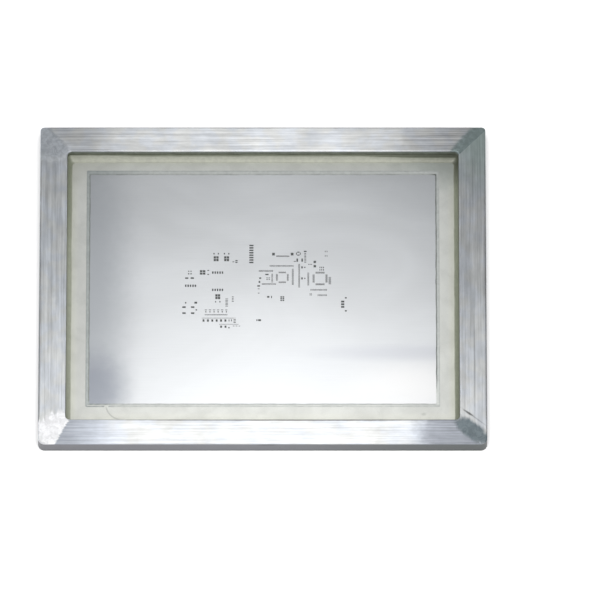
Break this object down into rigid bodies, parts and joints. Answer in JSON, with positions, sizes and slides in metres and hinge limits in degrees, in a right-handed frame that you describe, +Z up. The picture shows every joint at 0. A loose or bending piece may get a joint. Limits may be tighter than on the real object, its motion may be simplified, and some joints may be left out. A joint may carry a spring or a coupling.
{
  "type": "solder paste screen printing frame",
  "caption": "Welded aluminium box-bar frame with a polyester mesh glued under it and a stainless stencil foil, cut with paste apertures, in the mesh's window.",
  "frame": {"origin": "middle of the outline, at the underside of the stencil foil, which is the print side", "axes": "+X along the long bars, +Y from the front bar to the back bar, +Z up out of the squeegee side"},
  "size_m": [0.47, 0.37, 0.0177],
  "materials": {
    "bar_aluminium": "extruded and brushed along each bar",
    "weld_metal": "ground flush",
    "foil_steel": "smooth rolled sheet with laser-cut apertures",
    "mesh_fabric": "plain woven monofilament, stretched",
    "adhesive": "cured epoxy, translucent olive"
  },
  "bodies": {
    "root": {"frame_bar_front": "bar_aluminium", "frame_bar_right": "bar_aluminium", "frame_bar_back": "bar_aluminium", "frame_bar_left": "bar_aluminium", "corner_weld_front_left": "weld_metal", "corner_weld_front_right": "weld_metal", "corner_weld_back_left": "weld_metal", "corner_weld_back_right": "weld_metal", "frame_bond_film": "adhesive", "polyester_mesh": "mesh_fabric", "foil_bond_border": "adhesive", "wall_bead": "adhesive", "edge_seal_bead": "adhesive", "stencil_foil": "foil_steel"}
  },
  "joints": []
}
